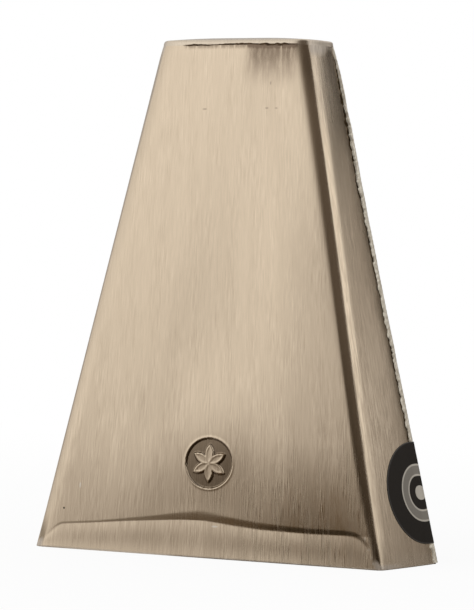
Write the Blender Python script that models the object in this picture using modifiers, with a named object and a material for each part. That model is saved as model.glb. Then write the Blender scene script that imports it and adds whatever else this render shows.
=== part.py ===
"""Hand cowbell: two pressed half shells, a domed crown cap, the welds that join them and a round label.

Metres, +Z up. The origin is the middle of the mouth, on the plane that the rim stands on.
The front panel faces -Y, the side seams lie in the plane Y = 0 and the label is on the +X seam.
"""

import math

import bmesh
import bpy
from mathutils import Vector

MM = 0.001

# Bell body, measured outside
SHELL_HEIGHT = 200.0 * MM  # mouth rim to the middle of the crown joint
MOUTH_FACE_WIDTH = 144.8 * MM  # broad panel at the mouth, between its fold lines
CROWN_FACE_WIDTH = 61.4 * MM  # broad panel at the crown joint
MOUTH_DEPTH = 66.0 * MM  # front panel to rear panel at the mouth
CROWN_DEPTH = 29.0 * MM  # front panel to rear panel at the crown joint
FOLD_TURN = math.radians(71.2)  # from a broad panel's normal to its side flange's normal
MOUTH_FOLD_RADIUS = 5.7 * MM  # outside of the bend at the mouth
CROWN_FOLD_RADIUS = 7.9 * MM  # outside of the bend at the crown joint
SHEET = 1.5 * MM  # steel thickness

# Pressed crease across each broad panel, just above the mouth
CREASE_HEIGHT = 15.0 * MM  # rim to the crease at mid panel
CREASE_DROP = 5.0 * MM  # how much lower the crease is where it ends
CREASE_DEPTH = 0.8 * MM  # how far the crease is pressed in
CREASE_REACH = 10.0 * MM  # height over which the panel turns in above the crease
LIP_FLARE = 0.8 * MM  # how far the rim stands outside the panel's plane
CREASE_FADE = 0.16  # share of the half panel over which the crease dies out

# Crown cap
CAP_HEIGHT = 2.6 * MM  # underside of its edge to the top of its dome
CAP_EDGE = 0.4 * MM  # straight part of its edge
CAP_SHOULDER = 0.9 * MM  # radius between its edge and its dome

# Weld joints
FIT_GAP = 0.3 * MM  # between a weld and the sheet beside it
ROOT_GAP = 1.6 * MM  # between the two half shells at a side seam
JOINT_GAP = 1.2 * MM  # between the half shells and the crown cap
ROOT_BULGE = 0.4 * MM  # how far a weld stands through on the inside
BEAD_HALF_WIDTH = 2.0 * MM  # side weld's cap, from the seam to its toe
BEAD_RISE = 0.35 * MM  # side weld's cap above the sheet at the seam
BEAD_TOE = 0.15 * MM  # thickness of the cap at its toe
CROWN_WELD_RECESS = 0.3 * MM  # crown weld's face behind the sheet's outside

# Round label, wrapped over the right-hand seam
LABEL_DIAMETER = 40.0 * MM
LABEL_HEIGHT = 26.2 * MM  # mouth rim to the label's middle
LABEL_SHIFT = 2.3 * MM  # from the seam to the label's middle, towards the front
LABEL_THICKNESS = 0.25 * MM
LABEL_TENT = 2.5 * MM  # how far past the weld's toe the label meets the sheet

# Fineness of the solids
FOLD_STEPS = 6
BEAD_STEPS = 6
SHOULDER_STEPS = 3
DOME_SCALES = (0.75, 0.45, 0.15)
PANEL_STATIONS = (-1.0, -0.92, -0.84, -0.5, 0.0, 0.5, 0.84, 0.92, 1.0)
LABEL_COLUMNS = 36
LABEL_ROWS = 8
LABEL_EDGE_SHARE = 0.995  # the label's outermost column, as a share of its radius

OVERRUN = 3.0 * MM  # how far the untrimmed sheet runs past each cut

STEEL_COLOUR = (0.60, 0.51, 0.40, 1.0)
WELD_COLOUR = (0.52, 0.47, 0.40, 1.0)
LABEL_COLOUR = (0.025, 0.022, 0.02, 1.0)


def clear_scene():
    for scene_object in list(bpy.data.objects):
        bpy.data.objects.remove(scene_object)


def new_collection(name):
    collection = bpy.data.collections.new(name)
    bpy.context.scene.collection.children.link(collection)
    return collection


def finish(name, colour, roughness, metallic):
    """A Principled material with one colour."""
    material = bpy.data.materials.new(name)
    material.use_nodes = True
    shader = material.node_tree.nodes["Principled BSDF"]
    shader.inputs["Base Color"].default_value = colour
    shader.inputs["Roughness"].default_value = roughness
    shader.inputs["Metallic"].default_value = metallic
    material.diffuse_color = colour
    return material


def mesh_object(name, mesh, collection, material=None, parent=None):
    made = bpy.data.objects.new(name, mesh)
    collection.objects.link(made)
    made.parent = parent
    if material and not mesh.materials:
        mesh.materials.append(material)
    return made


def mesh_from(build, name):
    """The mesh that build(bm) makes, with its faces pointing out and its round stretches smooth."""
    bm = bmesh.new()
    build(bm)
    bmesh.ops.recalc_face_normals(bm, faces=bm.faces)
    mesh = bpy.data.meshes.new(name)
    bm.to_mesh(mesh)
    bm.free()
    mesh.shade_smooth()
    mesh.set_sharp_from_angle(angle=math.radians(35))
    return mesh


def between(start, end, share):
    return start + (end - start) * share


def ease(share):
    """0 to 1 with level ends."""
    share = min(1.0, max(0.0, share))
    return share * share * (3.0 - 2.0 * share)


def half_depth(height):
    return between(MOUTH_DEPTH, CROWN_DEPTH, height / SHELL_HEIGHT) / 2


def seam_reach(height):
    """Distance from the bell's axis to the line where two side flanges meet."""
    half_face = between(MOUTH_FACE_WIDTH, CROWN_FACE_WIDTH, height / SHELL_HEIGHT) / 2
    return half_face + half_depth(height) / math.tan(FOLD_TURN)


def front_chain(height, inset=0.0, overrun=0.0, stations=(-1.0, 1.0)):
    """Section of the front half at a height, as (x, y) from the left seam to the right seam.

    Inset moves it in by that distance all along. Overrun carries the flanges past the seam plane.
    Stations are shares of the flat panel's half width.
    """
    depth = half_depth(height) - inset
    reach = seam_reach(height) - inset / math.sin(FOLD_TURN)
    radius = between(MOUTH_FOLD_RADIUS, CROWN_FOLD_RADIUS, height / SHELL_HEIGHT) - inset
    flat_half = reach - depth / math.tan(FOLD_TURN) - radius * math.tan(FOLD_TURN / 2)
    right = []
    for step in range(1, FOLD_STEPS + 1):
        turn = FOLD_TURN * step / FOLD_STEPS
        right.append((flat_half + radius * math.sin(turn), radius - depth - radius * math.cos(turn)))
    right.append((reach + overrun * math.cos(FOLD_TURN), overrun * math.sin(FOLD_TURN)))
    panel = [(station * flat_half, -depth) for station in stations]
    left = [(-x, y) for x, y in reversed(right)]
    return left + panel + right


def outline(height, inset=0.0, scale=1.0, level=None):
    """The closed section of the whole bell as points, at that height or lifted to another level."""
    front = front_chain(height, inset)
    rear = [(-x, -y) for x, y in front[1:-1]]
    lift = height if level is None else level
    return [Vector((x * scale, y * scale, lift)) for x, y in front + rear]


def loft(bm, rings, wrap=False):
    """Quads between closed rings of equal count. The ends are capped, or joined to each other by wrap."""
    rows = [[bm.verts.new(point) for point in ring] for ring in rings]
    pairs = list(zip(rows, rows[1:]))
    if wrap:
        pairs.append((rows[-1], rows[0]))
    else:
        bm.faces.new(rows[0])
        bm.faces.new(rows[-1])
    for lower, upper in pairs:
        for index in range(len(lower)):
            after = (index + 1) % len(lower)
            bm.faces.new((lower[index], lower[after], upper[after], upper[index]))


def map_grid(bm, columns, rows, place):
    """A grid whose vertex at (column, row) goes to place(column, row)."""
    bmesh.ops.create_grid(bm, x_segments=columns - 1, y_segments=rows - 1, size=1.0)
    bm.verts.ensure_lookup_table()
    for row in range(rows):
        for column in range(columns):
            bm.verts[row * columns + column].co = place(column, row)


def crease_offset(share, height):
    """Outward offset of a broad panel: a pressed valley above the mouth and a flared lip below it."""
    presence = ease((1.0 - abs(share)) / CREASE_FADE)
    valley = CREASE_HEIGHT - CREASE_DROP * share * share
    if height >= valley:
        return -CREASE_DEPTH * presence * (1.0 - ease((height - valley) / CREASE_REACH))
    return presence * between(LIP_FLARE, -CREASE_DEPTH, height / valley)


def shell_levels():
    """Heights of the sheet's rows: close together round the crease, then one straight run to the crown."""
    low = CREASE_HEIGHT - CREASE_DROP
    near = [low / 2, low, (low + CREASE_HEIGHT) / 2, CREASE_HEIGHT]
    above = [CREASE_HEIGHT + CREASE_REACH * share for share in (0.25, 0.5, 0.75, 1.0)]
    return [-OVERRUN, 0.0, *near, *above, SHELL_HEIGHT + OVERRUN]


def shell_sheet(bm):
    """Outside of a half shell as an open sheet that runs past the mouth, the crown joint and the seams."""
    levels = shell_levels()
    chains = [front_chain(level, overrun=OVERRUN, stations=PANEL_STATIONS) for level in levels]
    first_panel = FOLD_STEPS + 1

    def place(column, row):
        x, y = chains[row][column]
        panel_index = column - first_panel
        if 0 <= panel_index < len(PANEL_STATIONS):
            y -= crease_offset(PANEL_STATIONS[panel_index], levels[row])
        return Vector((x, y, levels[row]))

    map_grid(bm, len(chains[0]), len(levels), place)


def trimming_block(name, collection):
    """The space that a half shell may fill: above the rim plane, below the cap and clear of the seam."""
    lowest = Vector((-MOUTH_FACE_WIDTH, -MOUTH_DEPTH, 0.0))
    highest = Vector((MOUTH_FACE_WIDTH, -ROOT_GAP / 2, SHELL_HEIGHT - JOINT_GAP / 2))

    def build(bm):
        bmesh.ops.create_cube(bm, size=1.0)
        bmesh.ops.scale(bm, vec=highest - lowest, verts=bm.verts)
        bmesh.ops.translate(bm, vec=(lowest + highest) / 2, verts=bm.verts)

    block = mesh_object(name, mesh_from(build, name), collection)
    block.hide_render = True
    block.display_type = "WIRE"
    return block


def half_shell(name, sheet, block, turn, collection, parent):
    """A pressed half: the sheet given its thickness, then cut flat at the rim, the seams and the crown."""
    shell = mesh_object(name, sheet, collection, parent=parent)
    shell.rotation_euler.z = turn
    block.rotation_euler.z = turn
    thickness = shell.modifiers.new("sheet_thickness", "SOLIDIFY")
    thickness.thickness = SHEET
    thickness.offset = -1.0
    thickness.use_even_offset = True
    trim = shell.modifiers.new("flat_edges", "BOOLEAN")
    trim.operation = "INTERSECT"
    trim.object = block
    return shell


def cap_rings():
    """Rings of the crown cap from the middle of its underside, round its edge, to the top of its dome."""
    base = SHELL_HEIGHT + JOINT_GAP / 2
    dome_base = base + CAP_EDGE + CAP_SHOULDER
    dome_rise = CAP_HEIGHT - CAP_EDGE - CAP_SHOULDER
    under_rise = CAP_HEIGHT - SHEET
    rings = []
    for scale in (*reversed(DOME_SCALES), 1.0):
        rings.append(outline(base, SHEET, scale, base + under_rise * (1.0 - scale * scale)))
    rings.append(outline(base))
    for step in range(SHOULDER_STEPS + 1):
        angle = math.pi / 2 * step / SHOULDER_STEPS
        inset = CAP_SHOULDER * (1.0 - math.cos(angle))
        rings.append(outline(base, inset, level=base + CAP_EDGE + CAP_SHOULDER * math.sin(angle)))
    for scale in DOME_SCALES:
        rings.append(outline(base, CAP_SHOULDER, scale, dome_base + dome_rise * (1.0 - scale * scale)))
    return rings


def crown_weld_rings():
    """Four rings round the crown joint: outer and inner face, each at its lower and upper edge."""
    low = SHELL_HEIGHT - JOINT_GAP / 2 + FIT_GAP
    high = SHELL_HEIGHT + JOINT_GAP / 2 - FIT_GAP
    face = CROWN_WELD_RECESS
    root = SHEET + ROOT_BULGE
    corners = ((face, low), (face, high), (root, high), (root, low))
    return [outline(SHELL_HEIGHT, inset, level=level) for inset, level in corners]


def bead_crest(offset):
    """Outside of a side weld's cap, measured out from the line where the flanges meet."""
    share = min(1.0, abs(offset) / BEAD_HALF_WIDTH)
    seat = FIT_GAP / math.sin(FOLD_TURN) - abs(offset) / math.tan(FOLD_TURN)
    return seat + BEAD_TOE + (BEAD_RISE - BEAD_TOE) * math.sqrt(1.0 - share * share)


def bead_profile():
    """Level section of a side weld as (out from the seam line, along Y): a stem in the gap under a cap."""
    stem = ROOT_GAP / 2 - FIT_GAP
    root = -SHEET / math.sin(FOLD_TURN) - ROOT_BULGE
    seat_at = [(FIT_GAP / math.sin(FOLD_TURN) - y / math.tan(FOLD_TURN), y) for y in (stem, BEAD_HALF_WIDTH)]
    crest = []
    for step in range(BEAD_STEPS + 1):
        y = BEAD_HALF_WIDTH * math.cos(math.pi * step / BEAD_STEPS)
        crest.append((bead_crest(y), y))
    under_front = [(x, -y) for x, y in reversed(seat_at)]
    return [(root, stem), *seat_at, *crest, *under_front, (root, -stem)]


def side_weld(bm):
    """The right-hand seam's weld: its level section, carried up along the seam line."""
    top = SHELL_HEIGHT - JOINT_GAP / 2
    rings = []
    for level in (FIT_GAP, top):
        rings.append([Vector((seam_reach(level) + out, y, level)) for out, y in bead_profile()])
    loft(bm, rings)


def label_lift(across):
    """How far the label stands off the flanges, to pass over the weld with a gap."""
    crest = bead_crest(0.0) + FIT_GAP
    rest = FIT_GAP / math.sin(FOLD_TURN)
    return between(crest, rest, ease(abs(across) / (BEAD_HALF_WIDTH + LABEL_TENT)))


def label_sheet(bm):
    """The label's inner face: a disc laid over both right-hand flanges and bent along the seam."""
    radius = LABEL_DIAMETER / 2
    along = Vector((seam_reach(SHELL_HEIGHT) - seam_reach(0.0), 0.0, SHELL_HEIGHT)).normalized()
    middle = Vector((seam_reach(LABEL_HEIGHT), 0.0, LABEL_HEIGHT))

    def place(column, row):
        chord = radius * LABEL_EDGE_SHARE * between(-1.0, 1.0, column / (LABEL_COLUMNS - 1))
        up = math.sqrt(radius * radius - chord * chord) * between(-1.0, 1.0, row / (LABEL_ROWS - 1))
        across = chord - LABEL_SHIFT
        flange = Vector((-math.cos(FOLD_TURN), math.copysign(math.sin(FOLD_TURN), across), 0.0))
        away = (flange - along * flange.dot(along)).normalized() * abs(across)
        return middle + along * up + away + Vector((label_lift(away.y), 0.0, 0.0))

    map_grid(bm, LABEL_COLUMNS, LABEL_ROWS, place)


def label(name, collection, material, parent):
    """The label: its inner face given a thickness outwards."""
    made = mesh_object(name, mesh_from(label_sheet, name), collection, material, parent)
    thickness = made.modifiers.new("label_thickness", "SOLIDIFY")
    thickness.thickness = LABEL_THICKNESS
    thickness.offset = 1.0
    return made


def build_bell():
    clear_scene()
    parts = new_collection("hand_cowbell")
    cutters = new_collection("cutters")
    axis = mesh_object("bell_axis", None, parts)

    steel = finish("brushed_steel", STEEL_COLOUR, 0.35, 1.0)
    weld = finish("weld_metal", WELD_COLOUR, 0.5, 1.0)
    vinyl = finish("label_vinyl", LABEL_COLOUR, 0.4, 0.0)

    sheet = mesh_from(shell_sheet, "half_shell_sheet")
    sheet.materials.append(steel)
    for name, turn in (("front_shell", 0.0), ("rear_shell", math.pi)):
        half_shell(name, sheet, trimming_block(name + "_space", cutters), turn, parts, axis)

    cap = mesh_from(lambda bm: loft(bm, cap_rings()), "crown_cap")
    mesh_object("crown_cap", cap, parts, steel, axis)
    crown_weld = mesh_from(lambda bm: loft(bm, crown_weld_rings(), wrap=True), "crown_weld")
    mesh_object("crown_weld", crown_weld, parts, weld, axis)

    bead = mesh_from(side_weld, "side_weld")
    for name, turn in (("right_seam_weld", 0.0), ("left_seam_weld", math.pi)):
        mesh_object(name, bead, parts, weld, axis).rotation_euler.z = turn

    label("side_label", parts, vinyl, axis)


build_bell()
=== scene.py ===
"""Looks of the hand cowbell: brushed half shells, domed crown, hand-laid welds and a round vinyl label."""

import math

import bmesh
import bpy
import numpy as np
from mathutils import Matrix, Vector


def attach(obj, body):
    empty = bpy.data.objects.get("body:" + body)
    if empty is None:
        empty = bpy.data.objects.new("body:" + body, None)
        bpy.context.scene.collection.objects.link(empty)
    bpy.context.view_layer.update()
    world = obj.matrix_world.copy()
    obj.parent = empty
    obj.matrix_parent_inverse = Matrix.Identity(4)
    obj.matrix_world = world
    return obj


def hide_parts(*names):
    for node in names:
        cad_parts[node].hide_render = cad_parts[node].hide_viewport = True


MM = 0.001

# Bell body (mm)
SHELL_HEIGHT = 200.0
MOUTH_HALF_FACE = 72.4
CROWN_HALF_FACE = 31.2
MOUTH_HALF_DEPTH = 33.0
CROWN_HALF_DEPTH = 13.6
FOLD_TURN = math.radians(71.2)
SHEET = 1.5

# Length of sheet that a rolled fold takes up at each end (mm)
MOUTH_FOLD_LENGTH = 12.5
CROWN_FOLD_LENGTH = 15.0

# Share of the fold's turn that is made by each share of its length: at the rim, just above it, at the crown
RIM_FOLD_BEND = ((0.0, 0.0), (0.42, 0.01), (0.49, 0.14), (0.555, 0.24), (0.605, 0.35), (0.65, 0.46),
                 (0.69, 0.66), (0.725, 0.83), (0.78, 0.94), (0.87, 0.985), (1.0, 1.0))
LOW_FOLD_BEND = ((0.0, 0.0), (0.2, 0.005), (0.355, 0.035), (0.405, 0.155), (0.46, 0.22), (0.505, 0.29),
                 (0.56, 0.35), (0.61, 0.46), (0.66, 0.66), (0.735, 0.775), (0.825, 0.885), (0.91, 0.96),
                 (1.0, 1.0))
CROWN_FOLD_BEND = ((0.0, 0.0), (0.13, 0.01), (0.22, 0.035), (0.31, 0.1), (0.4, 0.19), (0.49, 0.29),
                   (0.57, 0.41), (0.625, 0.52), (0.665, 0.69), (0.72, 0.79), (0.795, 0.88), (0.885, 0.955),
                   (1.0, 1.0))
FOLD_STEPS = 200

# Height over which the rim's bend gives way to the one above it (mm)
RIM_FOLD_REACH = 18.0

# Slope of the side flanges' slight belly at their edges, and how late it grows towards the crown
MOUTH_FLANGE_BELLY = 0.04
CROWN_FLANGE_BELLY = 0.13
BELLY_GROWTH = 1.3

# Pressed crease above the mouth, by the place across: its height, its depth and the width of its groove (mm)
CREASE_LINE = ((-72, 1.0), (-66.3, 5.9), (-62.6, 9.6), (-49, 10.8), (-32, 12.6), (-12, 14.2), (-1, 14.5),
               (10, 13.5), (22, 12.5), (43, 12.1), (58, 12.4), (61.8, 12.0), (64.8, 9.8), (67.4, 6.9),
               (70, 3.7), (73, 0.5))
CREASE_DEPTHS = ((-70, 0.0), (-62, 0.045), (-46, 0.055), (-36, 0.09), (-28, 0.14), (-20, 0.21), (-3, 0.31),
                 (14, 0.32), (30, 0.25), (56, 0.175), (62, 0.175), (66, 0.13), (69, 0.05))
CREASE_WIDTHS = ((-62, 0.8), (-46, 0.8), (-36, 1.0), (-28, 1.4), (-20, 2.0), (-10, 3.0), (-3, 3.7),
                 (14, 3.4), (30, 2.8), (58, 2.3), (64, 1.9))

# The crease is keen up to the first of these places across and soft from the second on (mm)
CREASE_SOFTENS = (-5.0, 15.0)

# How far the panel stands out above the crease, by the place across (mm)
SWELL_HEIGHTS = ((-62, 0.0), (-48, 0.08), (-38, 0.24), (-28, 0.38), (-10, 0.32), (0, 0.3), (10, 0.36),
                 (20, 0.6), (36, 1.12), (44, 1.14), (52, 1.1), (60, 0.98), (67, 0.72), (70, 0.3), (73, 0.0))

# The swell grows over this reach above the crease, whose ends count as level past the half width (mm)
SWELL_REACH = 34.0
SWELL_HALF_WIDTH = 58.0

# Heights between which the swell dies away (mm)
SWELL_FULL_TO = 78.0
SWELL_GONE_AT = 188.0

# The lip below the crease: depth of its two waves, and how far its edge turns in, or out below 0 (mm)
LIP_WAVES = ((-62, 0.015), (-40, 0.03), (0, 0.03), (30, 0.035), (55, 0.02), (64, 0.01), (70, 0.0))
LIP_TURNS = ((-62, -0.19), (-50, -0.21), (-38, -0.16), (-28, -0.12), (-12, -0.16), (0, -0.25), (20, -0.21),
             (36, -0.09), (48, -0.02), (57, 0.06), (64, 0.13), (70, 0.12))

# Shallow waves of the broad panels: height, run of one radian across and upwards (mm), and start (radians)
PANEL_WAVES = ((0.030, 5.3, 160.0, 0.9), (0.045, 9.7, -240.0, 2.1), (0.05, 21.0, 70.0, 0.4))

# Stamped ornament low on the front panel (mm)
STAMP_HEIGHT = 36.6
STAMP_FIELD = 9.6
STAMP_DEPTH = 0.75
STAMP_WALL = 0.5
STAMP_BURR = 0.05
PETAL_LENGTH = 7.0
PETAL_WIDTH = 3.0
PETAL_MARGIN = 0.3

# Crown: half the joint under the cap, the ground sheet below it, and the cap (mm, lean in degrees)
CROWN_JOINT = 0.25
GROUND_FROM = 195.0
GROUND_AWAY = 0.2
CAP_SIDE = 0.85
CAP_LEAN = 9.0
CAP_SHOULDER = 1.05
CAP_RISE = 1.5
CAP_HOLLOW = 1.0
WELDED_END = 0.55
WELDED_END_WIDTH = 2.5
SLIT_TAPER = 5.0
SHELL_TOP = SHELL_HEIGHT - CROWN_JOINT

# Side welds, by the height: half width and crest of a bead, and reach of the soot beside it (mm)
BEAD_TOES = ((0, 2.2), (10, 2.1), (50, 1.85), (60, 1.85), (83, 2.1), (108, 1.9), (132, 1.95), (153, 1.8),
             (163, 1.2), (170, 0.75), (183, 0.4), (200, 0.4))
BEAD_CRESTS = ((0, 0.7), (7, 0.75), (10, 0.4), (48, 0.4), (60, 0.45), (85, 0.5), (120, 0.6), (140, 0.7),
               (160, 1.1), (180, 1.05), (190, 0.95), (196, 0.8), (200, 0.6))
SOOT_REACHES = ((60, 1.9), (165, 2.9), (175, 3.2), (185, 4.6))

# A bead's foot, the spacing of its ripples and of its notches, and where the notches die away (mm)
BEAD_FOOT = 0.6
RIPPLE_PITCH = 1.9
NOTCH_PITCH = 3.8
NOTCHES_GONE_AT = 199.0
NOTCHES_FULL_TO = 183.0

# Dark scale lies along the beads between these heights (mm)
SCALE_FOOT = 30.0
SCALE_TOP = 196.0

# Round label over the right-hand seam, which sags by a share of its way from it and bridges the bead (mm)
LABEL_RADIUS = 20.0
LABEL_HEIGHT = 27.45
LABEL_SHIFT = 1.8
LABEL_SAG = 0.035
LABEL_THICKNESS = 0.16
LABEL_LIFT = 0.06
LABEL_BRIDGE = 3.85
LABEL_BRIDGE_LIFT = 0.62
LABEL_SIDES = 120

# The label's print and the painted highlight round its edge, as radii, and the softness of their edges (mm)
PRINT_SPOT = 2.9
PRINT_RING = (6.5, 11.4)
PRINT_RING_FILL = (7.2, 10.7)
EDGE_HIGHLIGHT_FROM = 19.5
PRINT_EDGE = 0.2

# Rows and columns of the half shells as (start, end, count): heights in mm, shares of the panel's flat
FRONT_LEVELS = ((0.45, 8.0, 18), (8.0, 17.0, 46), (17.0, 24.0, 14), (24.0, 49.0, 104), (49.0, 190.0, 48),
                (190.0, SHELL_TOP, 12))
REAR_LEVELS = ((0.45, 8.0, 18), (8.0, 17.0, 40), (17.0, 24.0, 12), (24.0, 190.0, 56), (190.0, SHELL_TOP, 12))
INSIDE_LEVELS = ((0.2, 24.0, 14), (24.0, SHELL_TOP, 14))
FRONT_PLACES = ((-1.0, -0.2, 46), (-0.2, 0.2, 100), (0.2, 1.0, 46))
REAR_PLACES = ((-1.0, 1.0, 90),)

# Inset and height of the points round the rim's edge, from the inside out (mm)
RIM_EDGE = ((1.44, 0.06), (1.3, 0.0), (0.4, 0.0), (0.2, 0.05), (0.07, 0.16), (0.01, 0.3))

# Insets between which the sheet's outside turns into its inside (mm)
OUTSIDE_TO = 0.7
INSIDE_FROM = 1.3

# The fold's crest, as a share of its length. Beyond it stroke places are counted from FLANK_PLACE (mm)
FOLD_CREST = 0.6
FLANK_PLACE = 300.0

# Stroke places between which the finish of the panel gives way to that of the flank (m)
FLANK_STARTS = (0.2, 0.25)

# Lean of the brush's strokes as they climb, and what it gains to each metre towards the right
BRUSH_LEAN = 0.033
BRUSH_FAN = 1.1

# How many marks of the brush and of soot there are to a metre, across and along the strokes
HAIRS = (2300.0, 125.0, 1.0)
STROKES = (900.0, 65.0, 1.0)
BANDS = (150.0, 14.0, 1.0)
PATCHES = (170.0, 30.0, 1.0)
DRIPS = (420.0, 90.0, 1.0)

# Where the lower part of the sheet is scrubbed, and its right-hand side rubbed, across and upwards (m)
SCRUBBED_UP = (0.11, 0.015)
RUBBED_ACROSS = (-0.03, 0.035, 0.09, 0.1)
RUBBED_UP = (0.06, 0.02)

# Heat stain under the crown: a broad patch and a thin line, across and upwards (m)
BROAD_STAIN_ACROSS = (0.003, 0.009, 0.024, 0.0285)
BROAD_STAIN_UP = (0.181, 0.2)
THIN_STAIN_ACROSS = (-0.022, -0.02, 0.025, 0.028)
THIN_STAIN_UP = (0.1978, 0.1996)

# Small marks on the front panel: place across, height, half width and half height (mm)
PITS = ((-60.9, 15.8, 0.5, 0.5),)
NICKS = ((-11.0, 174.5, 1.2, 0.5), (15.1, 174.9, 0.9, 0.5), (19.0, 174.9, 0.8, 0.4), (16.1, 184.7, 0.4, 1.0))
FLECKS = ((-54.5, 25.2, 0.5, 1.4), (3.7, 12.4, 1.6, 0.5))
FAINT_FLECKS = ((65.0, 11.4, 0.6, 1.1), (66.9, 7.6, 0.6, 0.7), (68.2, 4.6, 0.6, 0.9), (68.9, 2.4, 0.6, 0.6))

# Colours of the steel and of what marks it (red, green, blue)
SHELL_LIGHT = (0.822, 0.676, 0.508)
SHELL_DARK = (0.692, 0.562, 0.415)
CAP_LIGHT = (0.80, 0.685, 0.545)
CAP_DARK = (0.69, 0.585, 0.46)
GROUND_LIGHT = (0.68, 0.59, 0.49)
GROUND_DARK = (0.47, 0.40, 0.33)
SCRATCH_BROWN = (0.27, 0.205, 0.145)
STAIN_BROWN = (0.25, 0.182, 0.13)
# Soot by the seams, and painted shade on the upper flanges, the folds, the rim and the panels' right sides
SOOT_AND_SHADE_BROWN = (0.16, 0.117, 0.07)
# Dark patina in the stamped field, darkened further as painted shade
STAMP_BROWN = (0.17, 0.12, 0.075)
INSIDE_GREY = (0.30, 0.25, 0.19)
PIT_BLACK = (0.05, 0.04, 0.03)
FLECK_PALE = (0.95, 0.9, 0.82)

# Colours of the welds and the soot in the joint, dark and light
WELD_GREYS = ((0.66, 0.59, 0.475), (0.9, 0.83, 0.7))
SCALE_BLACKS = ((0.008, 0.004, 0.0008), (0.075, 0.043, 0.015))
JOINT_BROWNS = ((0.035, 0.019, 0.009), (0.11, 0.068, 0.036))

# Colours of the label's ink and vinyl, dark and light
PRINT_SILVERS = ((0.52, 0.48, 0.42), (0.72, 0.67, 0.58))
PRINT_GREYS = ((0.24, 0.22, 0.19), (0.34, 0.31, 0.27))
VINYL_BLACKS = ((0.0135, 0.0103, 0.0075), (0.0225, 0.0175, 0.013))
# Painted highlight round the label's edge
VINYL_EDGE_HIGHLIGHT = (0.06, 0.055, 0.05)

# Depth of the finishes' fine relief (m)
GRAIN_RELIEF = 0.0002
VINYL_RELIEF = 0.0001

# Section of the studio's cards, from near the bell's foot out and up to overhead: reach and height (mm)
CARD_PROFILE = ((100.0, 0.02), (600.0, 0.3), (3000.0, 0.3), (3000.0, 700.0), (3000.0, 2600.0),
                (1200.0, 3000.0), (5.0, 3000.0))

# Greys of the cards round the set, by the azimuth from the front (degrees)
SET_GREYS = ((-180, 0.85), (-168, 0.7), (-158, 0.5), (-122, 0.48), (-108, 0.75), (-60, 0.85), (-30, 0.98),
             (-23, 1.0), (-19, 0.95), (-15, 0.87), (-10, 0.8), (-6, 0.55), (-2, 0.32), (4, 0.17),
             (12, 0.125), (47, 0.115), (57, 0.12), (61, 0.95), (97, 1.0), (104, 0.95), (109, 0.86),
             (115, 0.86), (121, 0.85), (128, 0.75), (134, 0.45), (140, 0.36), (148, 0.45), (158, 0.82),
             (180, 0.85))

# Greys up the card beside the right-hand seam, by the rise above the bell's middle (degrees)
SIDE_GREYS = ((10.2, 0.5), (11.0, 0.75), (11.6, 1.0), (12.8, 1.0), (13.5, 0.48), (14.6, 0.34), (15.6, 0.32),
              (16.6, 0.37), (17.3, 0.45), (17.9, 0.9), (18.7, 1.0), (19.1, 0.27), (19.4, 0.08), (20.0, 0.0),
              (26.0, 0.02), (34.0, 1.0))

# Colours that the cards fade into
LOW_CARD = (0.105, 0.073, 0.043)
FLOOR_CARD = (0.1, 0.075, 0.05)
CORNER_CARD = (0.03, 0.022, 0.013)
REAR_CARD = (0.74, 0.7, 0.64)
OVERHEAD_CARD = (0.8, 0.8, 0.8)
TOP_CARD = (0.6, 0.6, 0.6)

# Stage: the floor's paint, white light, and the height that the cards and the lamp turn about (m)
FLOOR_PAINT = (0.86, 0.86, 0.85)
WHITE = (1.0, 1.0, 1.0)
STAGE_MIDDLE = 0.1

# The photograph's camera (m, lens in mm)
CAMERA_AZIMUTH = math.radians(21.735)
CAMERA_RISE = math.radians(0.947)
CAMERA_ROLL = math.radians(1.366)
CAMERA_DISTANCE = 1.005
CAMERA_MIDDLE = 0.1005
CAMERA_AIM = (-0.00177, -0.00284)
CAMERA_LENS = 149.1


class Value:
    """A node socket that reads like a number: sums on it add Math nodes to its tree."""

    def __init__(self, socket):
        self.socket = socket

    def _sum(self, operation, left, right):
        node = self.socket.id_data.nodes.new("ShaderNodeMath")
        node.operation = operation
        for slot, term in zip(node.inputs, (left, right)):
            plug(slot, term)
        return Value(node.outputs[0])

    def __add__(self, other):
        return self._sum("ADD", self, other)

    def __radd__(self, other):
        return self._sum("ADD", other, self)

    def __sub__(self, other):
        return self._sum("SUBTRACT", self, other)

    def __rsub__(self, other):
        return self._sum("SUBTRACT", other, self)

    def __mul__(self, other):
        return self._sum("MULTIPLY", self, other)

    def __rmul__(self, other):
        return self._sum("MULTIPLY", other, self)

    def __truediv__(self, other):
        return self._sum("DIVIDE", self, other)


def plug(slot, term):
    """Links a Value into a socket, or sets the socket to a number, a vector or a colour."""
    if isinstance(term, Value):
        slot.id_data.links.new(term.socket, slot)
    elif slot.type == "RGBA":
        slot.default_value = (*term, 1.0)
    else:
        slot.default_value = term


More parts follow.
